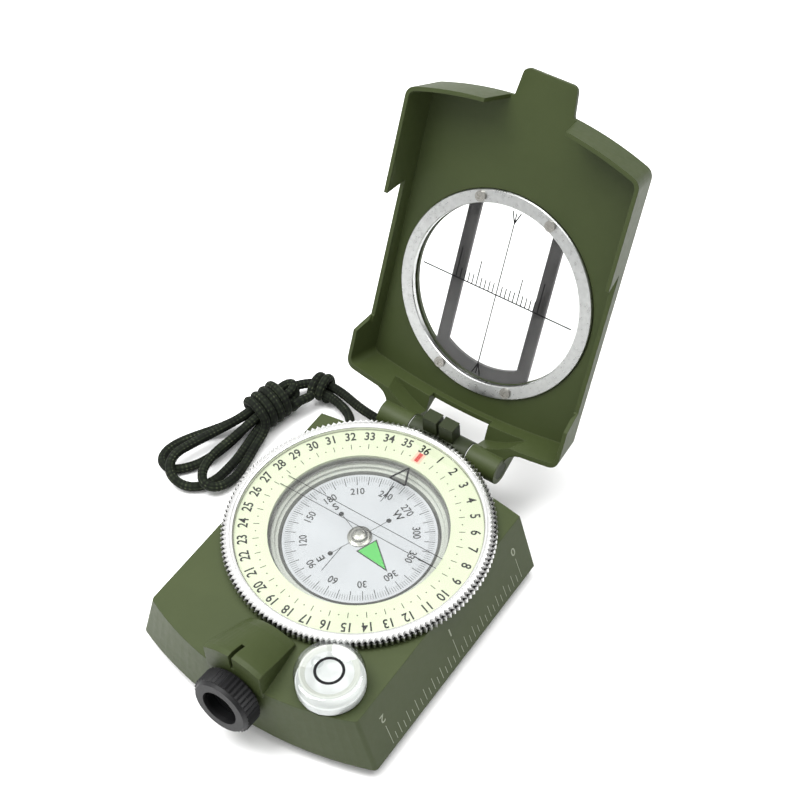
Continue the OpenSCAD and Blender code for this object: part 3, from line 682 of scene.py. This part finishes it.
# ---------------------------------------------------------------- level
LEVEL = (18, -35)
BUBBLE = (13.8, -33.8)
verts, faces = lathe([(0.01, 18.9), (7.66, 18.9), (7.66, 23.5), (7.45, 24.05), (6.9, 24.3), (6.5, 24.3),
                      (6.2, 24.1), (0.01, 24.1)], 96, LEVEL)
vial = soften(piece("level_body", verts, faces, ACRYLIC, "case"))
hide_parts("level_vial")
verts, faces = lathe([(0.01, 18.92), (7.5, 18.92), (7.5, 20.7), (7.2, 20.9), (6.9, 20.6), (5.6, 19.9),
                      (0.01, 19.9)], 96, LEVEL)
soften(piece("level_cup", verts, faces, WHITE, "case"))
verts, faces = lathe([(5.5, 23.2), (6.5, 23.9), (6.1, 23.95), (5.2, 23.4)], 96, LEVEL)
soften(piece("level_collar", verts, faces, WALL, "case"))
circle = Marks(at_height(24.11), 0.03)
circle.ring(2.7, 3.35, LEVEL)
circle.done("level_circle", INK, "case")
verts, faces = lathe([(0.01, 22.62), (0.7, 22.6), (1.2, 22.35), (1.35, 22.0), (1.2, 21.7), (0.7, 21.5),
                      (0.01, 21.45)], 32, BUBBLE)
air = clear("bubble", (0.93, 0.94, 0.94), 0.02, 1.9)
soften(piece("level_bubble", verts, faces, air, "case"), 60)

# ---------------------------------------------------------------- engraved inch scale on the right slope
INCH = 25.4
ZERO_Y = 17.65
SLOPE_OUT, SLOPE_DROP = 4.5, 15
TOP_EDGE = (27.7, 0, 18.4)
PARTS = 16  # ticks to the inch
down = Vector((SLOPE_OUT, 0, -SLOPE_DROP)).normalized()
out = Vector((SLOPE_DROP, 0, SLOPE_OUT)).normalized()
slope = Matrix((Vector((0, 1, 0)), -down, out)).transposed().to_4x4()
scale = Marks(Matrix.Translation(TOP_EDGE) @ slope, 0.03)


def tick_start(k):
    """How far down the slope a tick begins: longest at an inch, shortest at a sixteenth."""
    if k % PARTS == 0:
        return 8.4
    return 10.9 if k % 2 == 0 else 12.2


for k in range(2 * PARTS + 1):
    y = ZERO_Y - INCH * k / PARTS
    scale.line((y, -tick_start(k)), (y, -14.4), 0.15)
for k, words in enumerate("012"):
    scale.text(words, (ZERO_Y - INCH * k, -6), 3.1, 180)
scale.done("inch_scale", ENGRAVE, "case")

# ---------------------------------------------------------------- reticle in the lid
HINGE = (0, 32.8, 16.5)
LID_OPEN = 115.5
LENS_CENTRE = (0, -36, 8.95)  # on the closed lid, from the hinge
DROPS = {5: 6.3, 10: 7.6}  # the long ticks; the others are short
SHORT_TICK = 2.6
open_lid = Matrix.Translation(HINGE) @ Matrix.Rotation(-math.radians(LID_OPEN), 4, "X")
reticle = Marks(open_lid @ Matrix.Translation(LENS_CENTRE), 0.03)
reticle.line((-20, 0), (20, 0), 0.32)
reticle.line((0, -20.6), (0, 20.6), 0.27)
for s in (-1, 1):
    for x in (-1, 1):
        reticle.line((0, s * 18), (x * 1.1, s * 20.8), 0.3)
for k in range(1, 11):
    for s in (-1, 1):
        reticle.line((s * k * 1.1, 0), (s * k * 1.1, -DROPS.get(k, SHORT_TICK)), 0.28)
reticle.done("reticle", INK, "lid")

# ---------------------------------------------------------------- stage and light, in metres
HALF_FLOOR = 3.0
AIM = Vector((0, 0, 0.01))
floor_mesh = bpy.data.meshes.new("floor")
corners = [(x * HALF_FLOOR, y * HALF_FLOOR, 0) for x, y in ((-1, -1), (1, -1), (1, 1), (-1, 1))]
floor_mesh.from_pydata(corners, [], [(0, 1, 2, 3)])
floor = bpy.data.objects.new("floor", floor_mesh)
bpy.context.collection.objects.link(floor)
pale = Mat("floor_pale", (0.94, 0.94, 0.94), 0.7)
pale.color(pale.noise(3, 2), (0.93, 0.93, 0.93), (0.95, 0.95, 0.95))
floor_mesh.materials.append(pale.mat)
floor.location.z = -0.00005


def lamp(name, at, size, power):
    data = bpy.data.lights.new(name, "AREA")
    data.shape = "DISK"
    data.size = size
    data.energy = power
    obj = bpy.data.objects.new(name, data)
    obj.location = at
    obj.rotation_euler = (AIM - Vector(at)).to_track_quat("-Z", "Y").to_euler()
    bpy.context.collection.objects.link(obj)


lamp("key", (-0.42, -0.22, 1.15), 0.7, 13)
lamp("top", (0.25, 0.30, 1.2), 0.9, 10)
world = bpy.data.worlds.new("World")
bpy.context.scene.world = world
world.use_nodes = True
tree = world.node_tree
sky = next(n for n in tree.nodes if n.type == "BACKGROUND")
sky.inputs["Color"].default_value = (1, 1, 1, 1)
# Brightest from above and from the left, dim from the right
direction = tree.nodes.new("ShaderNodeTexCoord")
facing = tree.nodes.new("ShaderNodeVectorMath")
facing.operation = "DOT_PRODUCT"
facing.inputs[1].default_value = (-0.36, -0.10, 0.93)
strength = tree.nodes.new("ShaderNodeMapRange")
strength.inputs["From Min"].default_value = 0.0
strength.inputs["From Max"].default_value = 0.85
strength.inputs["To Min"].default_value = 0.10
strength.inputs["To Max"].default_value = 1.4
tree.links.new(direction.outputs["Generated"], facing.inputs[0])
tree.links.new(facing.outputs["Value"], strength.inputs["Value"])
tree.links.new(strength.outputs["Result"], sky.inputs["Strength"])
